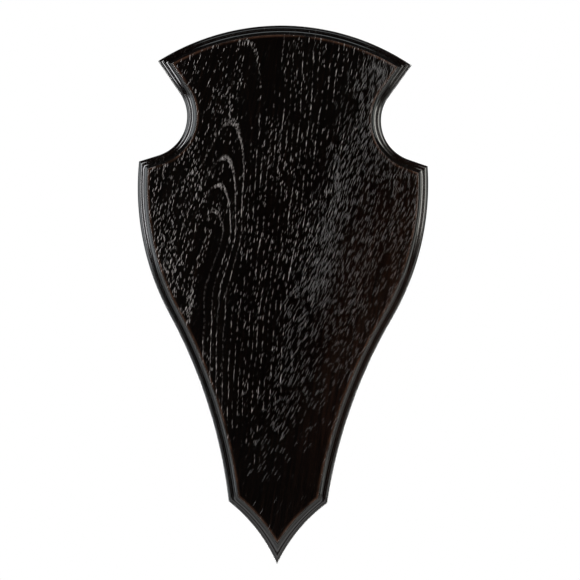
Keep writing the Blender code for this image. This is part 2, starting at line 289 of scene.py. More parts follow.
# sizes and places in mm
oakLook = dict(
    ringWidth=2.6,  # between two winters
    heart=(-38.0, 33.0),  # x and z where the axis of the cathedral figure begins to turn
    heartLean=0.19,  # how far that axis leans to the right as it rises
    heartBend=9.0,  # how far the fibres swing to the left under the figure
    heartTurn=5.25,  # how fast its rings turn away from the face
    figureWidth=17.3,
    figureRings=4,
    sway=2.5,  # how far the fibres wander to each side
    swaySize=(34.0, 60.0, 70.0),
    patchSize=(15.0, 15.0, 38.0),  # patches with more and fewer vessels
    bandFoot=10.5,  # x at z = 0 of the band where the fibres turn
    bandLean=0.265,
    # each kind of vessel has its lean low down and high up with the height between them, the width and
    # length of the cells that hold one each, and the share of cells that do, in poor and in rich patches;
    # extra is what the early wood or the band adds, and pale is how much pale filler and painted glint the
    # darkest and palest hold
    bold=dict(
        leans=(0.07, 0.19, -10.0),
        cell=(0.18, 4.4),
        share=(0.36, 0.80),
        pale=(0.14, 0.99),
        contrast=1.3,
    ),
    fine=dict(
        leans=(0.52, 0.34, 20.0),
        cell=(0.17, 6.0),
        share=(0.30, 0.65),
        extra=0.40,
        pale=(0.015, 0.205),
        contrast=2.0,
    ),
    short=dict(
        leans=(0.24, 0.25, 40.0),
        cell=(0.16, 3.0),
        share=(0.05, 0.25),
        extra=0.30,
        pale=(0.06, 0.66),
        contrast=1.0,
    ),
    crestPale=0.17,
    # dense streaks with hardly a vessel: x at z = 0, lean, half width, foot and head
    quiet=(
        (-39.5, 0.22, 4.6, -60.0, 34.0),
        (-10.5, 0.03, 4.6, 96.0, 150.0),
        (-22.5, 0.04, 2.6, 78.0, 108.0),
    ),
    quietShare=0.14,
    grainSize=(0.55, 0.55, 26.0),
    relief=0.018,  # how deep an open vessel stands
    gloss=0.13,
    glossCloud=0.03,
    stain=(0.0006, 0.0003, 0.00025),
    stainThin=(0.0042, 0.0021, 0.0014),
    stainWarm=(0.0125, 0.0052, 0.0033),
    fillerAndGlint=(0.83, 0.75, 0.725),  # pale filler held in the open vessels, partly a painted glint of the side lights on their lacquered walls
    warmFillerAndGlint=(0.50, 0.335, 0.275),
    bareArris=(0.027, 0.013, 0.008),
)
backLook = dict(
    oakLook,
    gloss=0.45,
    stain=(0.009, 0.0055, 0.0035),
    stainThin=(0.060, 0.033, 0.018),
    stainWarm=(0.052, 0.027, 0.014),
    fillerAndGlint=(0.002, 0.0013, 0.001),
    warmFillerAndGlint=(0.002, 0.0013, 0.001),
)
routedLook = dict(
    oakLook,
    gloss=0.62,
    stain=(0.115, 0.062, 0.030),
    stainThin=(0.26, 0.155, 0.078),
    stainWarm=(0.26, 0.155, 0.078),
    fillerAndGlint=(0.050, 0.026, 0.012),
    warmFillerAndGlint=(0.050, 0.026, 0.012),
)


def leaning(n, leans, sway):
    # places across and along the fibres, which lean by one slope low down and by another high up
    low, high, around = leans
    rise = n.math("SUBTRACT", n.z, around)
    above = n.add("ShaderNodeMath", rise, 0.0, 40.0, operation="SMOOTH_MAX").outputs[0]
    shift = n.math("MULTIPLY_ADD", rise, low, n.times(above, high - low))
    across = n.math("ADD", n.math("SUBTRACT", n.x, shift), sway)
    return across, n.math("MULTIPLY_ADD", n.x, (low + high) / 2, n.z)


def oakRings(n, look, sway):
    # growth rings round a heart just in front of the face, which turns away from it towards the top
    heartX, heartZ = look["heart"]
    across, _ = leaning(n, (0.05, 0.14, -10.0), sway)
    above = n.math("MAXIMUM", n.math("SUBTRACT", n.z, heartZ), 0.0)
    swing = n.times(n.step(n.z, heartZ + 3, heartZ - 35), -look["heartBend"])
    axis = n.math("ADD", n.math("MULTIPLY_ADD", above, look["heartLean"], heartX), swing)
    aside = n.math("SUBTRACT", n.x, axis)
    near = n.step(n.math("ABSOLUTE", aside), 34.0, 10.0)
    level = n.math("SUBTRACT", across, heartX - 6.0)
    ripple = n.between(n.noise(n.scaled(n.place, 11.0, 11.0, 26.0), 2.0), -1.5, 1.5)
    aside = n.math("MULTIPLY_ADD", near, n.math("SUBTRACT", aside, level), level)
    aside = n.math("ADD", aside, ripple)
    deep = n.math("SUBTRACT", n.y, faceY / mm)
    turned = n.math("MULTIPLY_ADD", above, look["heartTurn"], n.times(deep, deep))
    radius = n.math("SQRT", n.math("MULTIPLY_ADD", aside, aside, turned))
    within = n.math("DIVIDE", n.math("MINIMUM", radius, look["figureWidth"]), look["figureWidth"])
    beyond = n.math("MAXIMUM", n.math("SUBTRACT", radius, look["figureWidth"]), 0.0)
    year = n.times(n.math("POWER", within, 1.6), look["figureRings"])
    year = n.math("MULTIPLY_ADD", beyond, 1 / look["ringWidth"], year)
    wander = n.between(n.noise(n.scaled(n.joined(radius, 0.0, 0.0), 9.0, 1.0, 1.0), 1.0), -0.3, 0.5)
    year = n.math("ADD", year, wander)
    strength = n.add("ShaderNodeTexWhiteNoise", None, n.math("FLOOR", year), noise_dimensions="1D")
    return aside, radius, n.math("FRACT", year), strength.outputs["Value"]


def quietStreaks(n, look, sway):
    # 1 where vessels may stand, little in the dense streaks
    openness = 1.0
    fade, blur = 8.0, 1.2
    for x, lean, half, foot, head in look["quiet"]:
        middle = n.math("MULTIPLY_ADD", n.z, lean, x)
        off = n.math("ABSOLUTE", n.math("SUBTRACT", n.math("MULTIPLY_ADD", sway, 1.2, n.x), middle))
        along = n.times(n.step(n.z, foot - fade, foot + fade), n.step(n.z, head + fade, head - fade))
        streak = n.times(n.step(off, half + blur, half - blur), along)
        openness = n.times(n.between(streak, 1.0, look["quietShare"]), openness)
    return openness


def plankZones(n, look):
    # the rings, and soft masks from 0 to 1 for the parts of the plank that differ
    sway = n.between(n.noise(n.scaled(n.place, *look["swaySize"]), 1.5), -look["sway"], look["sway"])
    aside, radius, season, year = oakRings(n, look, sway)
    middle = n.math("MULTIPLY_ADD", n.z, look["bandLean"], look["bandFoot"])
    band = n.math("ADD", n.math("SUBTRACT", n.x, middle), n.times(sway, 2.0))
    return SimpleNamespace(
        sway=sway,
        aside=aside,
        radius=radius,
        season=season,
        year=year,
        early=n.ramp(season, [(0.0, 0.03), (0.05, 1.0), (0.13, 0.95), (0.20, 0.04), (1.0, 0.0)]),
        left=n.step(aside, 7.0, -5.0),
        right=n.step(band, -16.0, 14.0),
        inBand=n.step(n.math("ABSOLUTE", n.math("SUBTRACT", band, 4.0)), 16.0, 2.0),
        warmSide=n.times(n.step(band, 4.0, 34.0), n.step(n.z, 105.0, 20.0)),
        high=n.step(n.z, 55.0, 95.0),
        low=n.step(n.z, -35.0, -105.0),
        foot=n.step(n.z, 10.0, -50.0),
        patch=n.step(n.noise(n.scaled(n.place, *look["patchSize"]), 2.0), 0.32, 0.68),
        openness=quietStreaks(n, look, sway),
        # the moulding's lacquer has filled most of its vessels
        onFace=n.between(n.step(n.y, faceY / mm + 0.5, faceY / mm + 0.15), 0.15, 1.0),
    )


def vessels(n, kind, zone, level):
    # long cells along the fibres: a dash where a cell's own number is under the level asked for
    across, along = leaning(n, kind["leans"], zone.sway)
    width, length = kind["cell"]
    spot = n.scaled(n.joined(across, n.y, along), width, width, length)
    distance, chance, tone = n.cells(spot)
    shown = n.step(n.math("SUBTRACT", level, chance), 0.0, 0.05)
    dash = n.times(n.step(distance, 0.47, 0.16), shown)
    return dash, n.times(dash, n.between(n.math("POWER", tone, kind["contrast"]), *kind["pale"]))


def boldVessels(n, kind, zone):
    # rows in the early wood of each ring, between the scattered wood on the left and on the right
    rows = n.times(zone.early, n.between(zone.year, 0.45, 1.15))
    centre = n.math("SUBTRACT", 1.0, n.most(zone.left, zone.right))
    share = n.between(zone.patch, *kind["share"])
    fewer = n.between(zone.low, 1.0, 0.2)
    return vessels(n, kind, zone, n.times(rows, centre, share, fewer, zone.openness))


def fineVessels(n, kind, zone):
    # haze on the right, closest in the band
    level = n.math("MULTIPLY_ADD", zone.inBand, kind["extra"], n.between(zone.patch, *kind["share"]))
    fewer = n.times(n.between(zone.low, 1.0, 0.2), n.between(zone.foot, 1.0, 0.45))
    dash, pale = vessels(n, kind, zone, n.times(level, n.between(zone.right, 0.08, 1.0), fewer))
    return dash, n.times(pale, n.between(zone.inBand, 0.92, 1.87), n.between(zone.low, 1.0, 0.65))


def shortVessels(n, kind, zone):
    # scattered, mostly on the left
    level = n.math("MULTIPLY_ADD", zone.early, kind["extra"], n.between(zone.patch, *kind["share"]))
    fewer = n.times(n.between(zone.low, 1.0, 0.2), n.between(zone.high, 1.0, 0.65))
    sides = n.times(n.between(zone.left, 0.35, 1.0), n.between(zone.right, 1.0, 0.2))
    return vessels(n, kind, zone, n.times(level, fewer, sides, zone.openness))


def figureCrests(n, zone):
    # crowded small vessels along the rings of the cathedral figure
    crowd = n.noise(n.scaled(n.place, 0.7, 0.7, 1.5), 2.0, 0.7)
    crest = n.ramp(zone.season, [(0.0, 0.0), (0.05, 1.0), (0.12, 0.9), (0.22, 0.0)])
    inFigure = n.times(n.step(zone.radius, 20.0, 17.0), n.step(zone.radius, 2.5, 6.0))
    upwards = n.between(n.step(n.z, 24.0, 66.0), 0.2, 1.0)
    rightSide = n.between(n.step(zone.aside, 1.5, -3.5), 1.0, 0.08)
    return n.times(crest, inFigure, upwards, rightSide, n.step(crowd, 0.44, 0.60))


def stainColour(n, look, zone, fibre):
    # darkest in the dense late wood, thinner and warmer low down on the right
    thin = n.times(n.step(fibre, 0.35, 0.75), n.between(zone.early, 0.4, 1.0))
    colour = n.mixed(thin, look["stain"], look["stainThin"])
    warm = n.times(zone.warmSide, n.step(fibre, 0.3, 0.8), 0.85, n.between(zone.low, 1.0, 0.15))
    colour = n.mixed(warm, colour, look["stainWarm"])

    # rubbed arris, where the stain is cut through
    worn = n.add("ShaderNodeAttribute", attribute_name="rubbed").outputs["Fac"]
    worn = n.times(worn, n.step(n.y, backY / mm - 2.0, backY / mm - 4.0))
    uneven = n.noise(n.scaled(n.place, 7.0, 7.0, 7.0), 3.0)
    rubbed = n.math("MULTIPLY", n.step(worn, 0.0, 0.85), n.step(uneven, 0.2, 0.62), clamp=True)
    return n.mixed(rubbed, colour, look["bareArris"])


def oakMaterial(name, look):
    n = Nodes(name)
    zone = plankZones(n, look)
    across, along = leaning(n, (0.14, 0.2, 0.0), zone.sway)
    fibre = n.noise(n.scaled(n.joined(across, n.y, along), *look["grainSize"]), 3.0, 0.6)
    bold, boldPale = boldVessels(n, look["bold"], zone)
    fine, finePale = fineVessels(n, look["fine"], zone)
    short, shortPale = shortVessels(n, look["short"], zone)
    crests = figureCrests(n, zone)
    # painted glints: the open vessels' pale colour stands partly for filler and partly for the side lights'
    # glints on their lacquered walls
    pale = n.most(boldPale, finePale, shortPale, n.times(crests, look["crestPale"]))
    vesselFillAndGlint = n.mixed(n.times(zone.warmSide, 0.9), look["fillerAndGlint"], look["warmFillerAndGlint"])
    n.set(Base_Color=n.mixed(n.times(pale, zone.onFace), stainColour(n, look, zone, fibre), vesselFillAndGlint))

    # lacquer: closed over the late wood, broken over the vessels, glossier on the moulding
    hollow = n.times(n.most(bold, fine, short, crests), zone.onFace)
    cloud = n.noise(n.scaled(n.place, 30.0, 30.0, 55.0), 2.0)
    rough = n.between(cloud, look["gloss"] - look["glossCloud"], look["gloss"] + look["glossCloud"])
    rough = n.times(rough, n.between(zone.onFace, 0.45, 1.0))
    n.set(Roughness=n.math("MULTIPLY_ADD", hollow, 0.22, rough))
    height = n.math("SUBTRACT", n.times(fibre, zone.onFace, 0.15), hollow)
    n.set(Normal=n.relief(height, look["relief"] * mm))
    return n.material


# mm, with the angles in degrees
boardShape = dict(
    shoulder=75.0,  # half the width across the shoulders
    earInset=9.1,
    pointHalf=25.6,
    pointHeight=32.2,
    pointHollow=2.6,
    topRise=19.5,
    notchRadius=21.3,
    notchInset=3.3,
    notchRise=2.2,
    earRise=7.5,
    flankRadius=270.0,
    lowerLean=7.6,
    shoulderLean=4.8,
)
boardEdge = dict(
    bead=2.2,
    step=0.4,
    cove=3.0,
    fillet=0.3,
    arris=0.25,
    backRound=0.6,
    sharpRound=0.1,  # what sanding takes off the sharp edges
    keepFlat=0.06,  # a strip beside each small round that holds the flat shading
    steps=20,  # in the cove and in the bead
    roundSteps=4,
    rubbedBand=1.3,  # thin stain on the face beside the arris
    rubbedTurn=0.2,  # radians of the cove where it is thin too
)


def boardOutline():
    s = boardShape
    top, foot = boardHigh.z / mm, boardLow.z / mm
    tip = foot * 1j
    lower = complex(s["pointHalf"], foot + s["pointHeight"])
    ear = complex(s["shoulder"] - s["earInset"], top - s["topRise"])
    shoulder = complex(s["shoulder"], ear.imag - s["earRise"] - 2 * s["notchRadius"] - s["notchRise"])
    right = [pointSide(tip, lower), flankSides(lower, shoulder), notchSides(shoulder, ear)]
    half = 2 * math.atan(s["topRise"] / ear.real)
    crown = [arcLeaving(ear, cmath.rect(1, math.pi - half), flipped(ear))]
    left = [[mirrored(piece) for piece in reversed(side)] for side in reversed(right)]
    return [*right, crown, *left]


def flipped(point):
    return -point.conjugate()


def mirrored(piece):
    copy = dict(piece, start=flipped(piece["end"]), end=flipped(piece["start"]))
    if piece["radius"]:
        copy["centre"] = flipped(piece["centre"])
    return copy


def pointSide(tip, lower):
    chord = lower - tip
    half = 2 * math.atan(boardShape["pointHollow"] / (abs(chord) / 2))
    return [arcLeaving(tip, chord / abs(chord) * cmath.rect(1, half), lower)]


def flankSides(lower, shoulder):
    # a hollow arc out of the lower corner, then a full arc that carries it on
    radius = boardShape["flankRadius"]
    leave = cmath.rect(1, quarterTurn - math.radians(boardShape["lowerLean"]))
    arrive = cmath.rect(1, quarterTurn + math.radians(boardShape["shoulderLean"]))
    hollow = lower - leave * 1j * radius
    across = shoulder - hollow
    full = (abs(across) ** 2 - radius**2) / (2 * (radius - sideways(across, arrive * 1j)))
    between = shoulder + arrive * 1j * full - hollow
    between /= abs(between)
    middle = hollow + between * radius
    return [arcLeaving(lower, leave, middle), arcLeaving(middle, between / 1j, shoulder)]


def notchSides(shoulder, ear):
    # a straight shoulder, the round hollow, and the straight underside of the ear
    radius = boardShape["notchRadius"]
    centre = shoulder + complex(-boardShape["notchInset"], boardShape["notchRise"] + radius)
    touch = []
    for outside, side in ((shoulder, -1), (ear, 1)):
        way = outside - centre
        turn = side * math.acos(radius / abs(way))
        touch.append(centre + way / abs(way) * cmath.rect(radius, turn))
    low, high = touch
    hollow = {"start": low, "end": high, "radius": -radius, "centre": centre}
    return [straight(shoulder, low), hollow, straight(high, ear)]


def outlineRing(inset, flatness=0.004):
    sides = boardOutline()
    moved = [[movedIn(piece, inset) for piece in side] for side in sides]
    corners = [meeting(moved[i - 1][-1], moved[i][0], sides[i][0]["start"]) for i in range(len(sides))]
    ring = []
    for i, side in enumerate(moved):
        stops = [corners[i], *(piece["start"] for piece in side[1:]), corners[(i + 1) % len(sides)]]
        for piece, plain, start, end in zip(side, sides[i], stops, stops[1:]):
            ring += pointsAlong(piece, start, end, stepsFor(plain, flatness))
    return ring


def roundedCorner(inset, depth, start, end, radius, steps):
    # (inset, depth) round a small corner, from one heading to another, in degrees
    turns = [math.radians(start + (end - start) * i / steps) for i in range(steps + 1)]
    return [(inset + radius * math.cos(a), depth + radius * math.sin(a)) for a in turns]


def mouldingSection():
    # (inset, depth, rubbed) in mm from the face round to the back
    e = boardEdge
    bead, cove, arris, small, keep = e["bead"], e["cove"], e["arris"], e["sharpRound"], e["keepFlat"]
    thick = (backY - faceY) / mm
    coveInset, coveDepth = bead + cove, arris + e["fillet"]
    faceInset = coveInset + arris
    stepInset, stepDepth = bead + small, coveDepth + cove
    beadDepth = stepDepth + e["step"]
    backRound = e["backRound"]
    turns = [quarterTurn * i / e["steps"] for i in range(e["steps"] + 1)]
    section = [(faceInset + e["rubbedBand"], 0, 0), (faceInset + keep, 0, 1)]
    section += [(*point, 1) for point in roundedCorner(faceInset, arris, -90, -180, arris, e["roundSteps"])]
    for a in turns[:-1]:
        rubbed = 0.3 if a < e["rubbedTurn"] else 0
        section.append((coveInset - cove * (1 - math.cos(a)), coveDepth + cove * math.sin(a), rubbed))
    section.append((stepInset + keep, stepDepth, 0))
    section += [(*point, 0.2) for point in roundedCorner(stepInset, stepDepth + small, -90, -180, small, 3)]
    section.append((bead, beadDepth - keep, 0))
    for a in turns:
        section.append((bead * (1 - math.sin(a)), beadDepth + bead * (1 - math.cos(a)), 0.1))
    section.append((0, thick - backRound - keep, 0))
    corner = roundedCorner(backRound, thick - backRound, 180, 90, backRound, e["roundSteps"])
    section += [(*point, 0.2) for point in corner]
    section.append((backRound + 0.4, thick, 0))
    return section


def boardSolid():
    bm = bmesh.new()
    rubbed = bm.verts.layers.float.new("rubbed")
    loops, wear = [], []
    for inset, depth, worn in mouldingSection():
        loops.append([(p.real * mm, faceY + depth * mm, p.imag * mm) for p in outlineRing(inset)])
        wear.append(worn)
    for row, worn in zip(closedSkin(bm, loops), wear):
        for vert in row:
            vert[rubbed] = worn
    return bm


# the pocket for the hanger, with round ends, and the screws' pilot holes in its floor
pocketShape = dict(
    sideRoom=4.0,
    topRoom=5.5,
    endRoom=4.0,
    floorRound=0.8,
    floorSteps=5,
    mouthRound=0.35,
    mouthSteps=4,
    endSteps=40,
    pilot=1.8,
    pilotDepth=7.0,
    pilotSides=32,
)
joint = next(j for j in frame["joints"] if j["name"] == "ring_swing")
pivot = Vector(joint["pos_m"])
ringLow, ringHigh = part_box("hanger_ring")
strapLow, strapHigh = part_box("hanger_strap")
screwNodes = ("hanger_screw_upper", "hanger_screw_lower")
seatGap = 0.3 * mm  # between the strap and the pocket's floor
floorY = strapLow.y - seatGap
wireRadius = (ringHigh.y - ringLow.y) / 2
ringHalf = ringHigh.x - wireRadius
ringReach = pivot.z - ringLow.z


def slotRing(radius, y):
    p = pocketShape
    top = pivot.z + ringReach + (p["topRoom"] - p["sideRoom"]) * mm - ringHigh.x
    bottom = strapLow.z + (p["sideRoom"] - p["endRoom"]) * mm + ringHigh.x
    ring = []
    for centre, start in ((top, 0), (bottom, math.pi)):
        for i in range(p["endSteps"] + 1):
            a = start + math.pi * i / p["endSteps"]
            ring.append((radius * math.cos(a), y, centre + radius * math.sin(a)))
    return ring


def pocketCutter(material):
    p = pocketShape
    radius = ringHigh.x + p["sideRoom"] * mm
    low, mouth = p["floorRound"] * mm, p["mouthRound"] * mm
    loops = [slotRing(radius - low, floorY)]
    for i in range(1, p["floorSteps"] + 1):
        a = quarterTurn * i / p["floorSteps"]
        loops.append(slotRing(radius - low * (1 - math.sin(a)), floorY + low * (1 - math.cos(a))))
    for i in range(p["mouthSteps"] + 1):
        a = quarterTurn * i / p["mouthSteps"]
        loops.append(slotRing(radius + mouth * (1 - math.cos(a)), backY - mouth * (1 - math.sin(a))))
    loops.append(slotRing(radius + mouth, backY + mm))
    bm = bmesh.new()
    closedSkin(bm, loops)
    return pieceFrom("pocketCutter", bm, [material])


def pilotCutter(node, material):
    p = pocketShape
    low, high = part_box(node)
    radius, depth = p["pilot"] * mm, p["pilotDepth"] * mm
    profile = [(radius / 4, -depth - radius / 2), (radius, -depth), (radius, mm)]
    bm = bmesh.new()
    closedSkin(bm, turnedLoops(profile, p["pilotSides"]))
    bm.transform(facingWall(0, floorY, (low.z + high.z) / 2))
    return pieceFrom("pilotCutter", bm, [material])


def makeBoard():
    thinStain = oakMaterial("thinStainedOak", backLook)
    routedOak = oakMaterial("routedOak", routedLook)
    board = pieceFrom("oakBoard", boardSolid(), [oakMaterial("stainedOak", oakLook), thinStain])
    for face in board.data.polygons:
        if face.center.y > backY - 0.3 * mm:
            face.material_index = 1
    cutAway(board, [pocketCutter(routedOak), *(pilotCutter(node, routedOak) for node in screwNodes)])
    smoothBelow(board, 32)
    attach(board, "plaque")
    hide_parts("board")
    print("board: outline, moulding and pocket done")


steelLook = dict(
    cloudSize=2.4,
    gritSize=0.22,
    strokes=(0.09, 0.5, 3.2),  # sizes of the scratches that run up and down
    crossed=(2.6, 0.4, 0.10),
    relief=0.012,
)
# colour of fresh plating, of dull plating, and roughness
platings = dict(
    zincPlatedSteel=((0.60, 0.61, 0.62), (0.46, 0.47, 0.50), 0.30),
    yellowZincSteel=((0.70, 0.55, 0.27), (0.50, 0.36, 0.22), 0.28),
)


def steelMaterial(name):
    # plated steel: cloudy plating, fine handling scratches, and grit under it
    look = steelLook
    colour, tarnish, roughness = platings[name]
    n = Nodes(name)
    cloud = n.noise(n.scaled(n.place, *[look["cloudSize"]] * 3), 4.0, 0.6)
    grit = n.noise(n.scaled(n.place, *[look["gritSize"]] * 3), 2.0)
    strokes = n.noise(n.scaled(n.vector("ADD", n.place, (3.0, 0.0, 5.0)), *look["strokes"]), 3.0, 0.65)
    crossed = n.noise(n.scaled(n.vector("ADD", n.place, (8.0, 2.0, 0.0)), *look["crossed"]), 3.0, 0.65)
    scratch = n.most(n.step(strokes, 0.64, 0.74), n.step(crossed, 0.66, 0.76))
    n.set(Base_Color=n.mixed(n.step(cloud, 0.35, 0.75), colour, tarnish), Metallic=1.0)
    rough = n.math("MULTIPLY_ADD", cloud, 0.22, roughness - 0.08)
    rough = n.math("MULTIPLY_ADD", grit, 0.08, rough)
    n.set(Roughness=n.math("MULTIPLY_ADD", scratch, 0.15, rough))
    height = n.math("MULTIPLY_ADD", scratch, -0.5, n.times(grit, 0.5))
    n.set(Normal=n.relief(height, look["relief"] * mm))
    return n.material


feltLook = dict(
    tangleSize=0.35,
    clumpSize=1.6,
    strandSize=(0.10, 0.8, 0.5),
    shades=[(0.3, (0.020, 0.013, 0.010)), (0.55, (0.085, 0.058, 0.042)), (0.75, (0.17, 0.125, 0.092))],
    relief=0.25,
)


def feltMaterial():
    look = feltLook
    n = Nodes("darkFelt")
    tangle = n.noise(n.scaled(n.place, *[look["tangleSize"]] * 3), 5.0, 0.75)
    clumps = n.noise(n.scaled(n.place, *[look["clumpSize"]] * 3), 3.0)
    strand = n.noise(n.scaled(n.place, *look["strandSize"]), 2.0)
    mix = n.math("MULTIPLY_ADD", tangle, 0.6, n.times(clumps, 0.4))
    n.set(Base_Color=n.ramp(mix, look["shades"]), Roughness=0.95, Sheen_Weight=0.35, Sheen_Roughness=0.5)
    n.set(Normal=n.relief(n.math("MULTIPLY_ADD", strand, 0.4, mix), look["relief"] * mm))
    return n.material


def glueMaterial():
    n = Nodes("clearGlue")
    cloud = n.noise(n.scaled(n.place, 1.2, 1.2, 1.2), 3.0)
    n.set(Base_Color=n.mixed(cloud, (0.10, 0.075, 0.045), (0.20, 0.16, 0.10)), Roughness=0.3)
    n.set(Normal=n.relief(cloud, 0.05 * mm))
    return n.material


zincSteel = steelMaterial("zincPlatedSteel")
yellowSteel = steelMaterial("yellowZincSteel")


strapShape = dict(
    thick=1.0,
    sweep=290,  # degrees that the upper end is rolled round the ring's leg
    steps=72,
    corner=2.5,
    cornerSteps=10,
    edge=0.12,  # rounding that the press leaves on the plate
    edgeSteps=3,
    hole=1.8,
    holeEdge=0.15,
    holeSides=48,
)
strapThick = strapShape["thick"] * mm
knuckle = pivot.y - strapLow.y  # outside radius of the roll


def strapSection():
    # (y, z) round the plate's side view
    s = strapShape
    turns = [math.radians(-90 + s["sweep"] * i / s["steps"]) for i in range(s["steps"] + 1)]
    outer = [(pivot.y + knuckle * math.sin(a), pivot.z + knuckle * math.cos(a)) for a in turns]
    inside = knuckle - strapThick
    inner = [(pivot.y + inside * math.sin(a), pivot.z + inside * math.cos(a)) for a in reversed(turns)]
    foot = strapLow.z
    return [(strapLow.y, foot), *outer, *inner, (strapLow.y + strapThick, foot)]


def crossesPlate(edge):
    # a lower corner of the plate, which runs through its thickness
    ends = [vert.co for vert in edge.verts]
    return all(end.z < strapLow.z + 0.01 * mm for end in ends) and abs(ends[0].y - ends[1].y) > mm / 2


def holeCutter(node):
    s = strapShape
    low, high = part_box(node)
    radius, edge = s["hole"] * mm, s["holeEdge"] * mm
    wide = radius + 2 * edge
    profile = [(wide, -edge), (radius, edge), (radius, strapThick - edge), (wide, strapThick + edge)]
    bm = bmesh.new()
    closedSkin(bm, turnedLoops(profile, s["holeSides"]))
    bm.transform(facingWall(0, strapLow.y, (low.z + high.z) / 2))
    return pieceFrom("holeCutter", bm, [zincSteel])


def makeStrap():
    s = strapShape
    bm = bmesh.new()
    closedSkin(bm, [[(x, y, z) for y, z in strapSection()] for x in (strapLow.x, strapHigh.x)])
    corners = [edge for edge in bm.edges if crossesPlate(edge)]
    shape = dict(profile=0.5, affect="EDGES")
    bmesh.ops.bevel(bm, geom=corners, offset=s["corner"] * mm, segments=s["cornerSteps"], **shape)
    bmesh.ops.recalc_face_normals(bm, faces=bm.faces)
    sharp = [edge for edge in bm.edges if edge.calc_face_angle(0) > math.radians(50)]
    bmesh.ops.bevel(bm, geom=sharp, offset=s["edge"] * mm, segments=s["edgeSteps"], **shape)
    strap = pieceFrom("hangerStrap", bm, [zincSteel])
    cutAway(strap, [holeCutter(node) for node in screwNodes])
    smoothBelow(strap, 40)
    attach(strap, "plaque")
    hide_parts("hanger_strap")
    print("strap: plate, roll and holes done")


ringShape = dict(
    corner=1.8,  # bend between the leg in the roll and each arm
    bendSteps=12,
    bowSteps=56,
    sides=24,
)


def ringPath():
    # middle of the wire as (x, z) from the pivot, and the way it faces outwards
    r = ringShape
    corner, half = r["corner"] * mm, ringHalf
    arm = ringReach - ringHalf - wireRadius
    bends = [
        ((-half + corner, -corner), corner, 90, 90, r["bendSteps"]),
        ((0, -arm), half, 180, 180, r["bowSteps"]),
        ((half - corner, -corner), corner, 0, 90, r["bendSteps"]),
    ]
    path = []
    for (x, z), radius, start, sweep, steps in bends:
        for i in range(steps + 1):
            a = math.radians(start + sweep * i / steps)
            path.append((x + radius * math.cos(a), z + radius * math.sin(a), math.cos(a), math.sin(a)))
    return path


def makeRing():
    sides = ringShape["sides"]
    loops = []
    for x, z, outX, outZ in ringPath():
        loop = []
        for i in range(sides):
            a = math.tau * i / sides
            away, side = wireRadius * math.cos(a), wireRadius * math.sin(a)
            loop.append(pivot + Vector((x + outX * away, side, z + outZ * away)))
        loops.append(loop)
    bm = bmesh.new()
    closedSkin(bm, loops, closeRing=True)
    ring = pieceFrom("hangerRing", bm, [zincSteel], 60)
    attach(ring, "ring")
    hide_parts("hanger_ring")
    print("ring: wire bent and closed")


screwShape = dict(
    thread=1.5,  # outside radius
    threadDepth=0.4,
    threadSlope=1.9,  # how steeply it falls away from its crest
    threadEnd=1.2,  # turns over which it runs out below the head
    pitch=1.1,
    threadSides=28,
    rowsPerTurn=14,
    point=1.7,  # length of the tapered tip
    pointShare=0.18,  # width of its end as a share of the root
    headSide=0.3,  # share of the head that stands straight
    headFoot=0.12,
    headFlat=0.42,  # share of the head's radius that is flat on top
    headSteps=14,
    recess=(3.2, 0.74, 1.25),  # length, width and depth of the cross
    recessTaper=0.5,
    turned={"Upper": 24, "Lower": 71},  # degrees at which each was left
)


def threadLoops(tip):
    s = screwShape
    root = s["thread"] - s["threadDepth"]
    rows = math.ceil(-tip / s["pitch"] * s["rowsPerTurn"])
    loops = []
    for row in range(rows + 1):
        z = tip * (1 - row / rows)
        taper = min(1.0, (z - tip) / s["point"])
        fade = min(1.0, max(0.0, -z / (s["threadEnd"] * s["pitch"])))
        core = root * (s["pointShare"] + (1 - s["pointShare"]) * taper)
        loop = []
        for i in range(s["threadSides"]):
            around = i / s["threadSides"]
            saw = abs((z / s["pitch"] - around) % 1 - 0.5) * 2  # 0 on the crest
            crest = s["threadDepth"] * max(0.0, 1 - saw * s["threadSlope"]) * fade
            radius = (core + crest * math.sqrt(taper)) * mm
            a = math.tau * around
            loop.append(Vector((radius * math.cos(a), radius * math.sin(a), z * mm)))
        loops.append(loop)
    return loops


def headLoops(headRadius, top):
    s = screwShape
    side, foot, flat = s["headSide"] * top, s["headFoot"], s["headFlat"]
    profile = [(headRadius - foot, 0), (headRadius, foot), (headRadius, side)]
    for i in range(1, s["headSteps"] + 1):
        a = quarterTurn * i / s["headSteps"]
        profile.append((headRadius * (flat + (1 - flat) * math.cos(a)), side + (top - side) * math.sin(a)))
    return turnedLoops([(r * mm, z * mm) for r, z in profile], s["threadSides"])


def crossCutter(top, turn):
    # two crossed bars that narrow towards the bottom, with a small cone between them
    length, width, depth = screwShape["recess"]
    taper = screwShape["recessTaper"]
    cutters = []
    for way in (0, 90):
        loops = []
        for z, scale in ((top - depth, 1 - taper), (top + depth, 1 + taper)):
            x, y = length / 2 * scale * mm, width / 2 * scale * mm
            loops.append([(-x, -y, z * mm), (x, -y, z * mm), (x, y, z * mm), (-x, y, z * mm)])
        bm = bmesh.new()
        closedSkin(bm, loops)
        bm.transform(Matrix.Rotation(math.radians(turn + way), 4, "Z"))
        cutters.append(bm)
    bm = bmesh.new()
    cone = [(0.10, top - depth * 1.15), (0.42, top - depth * 0.8), (0.95, top + 0.4)]
    closedSkin(bm, turnedLoops([(r * mm, z * mm) for r, z in cone], 20))
    cutters.append(bm)
    return cutters


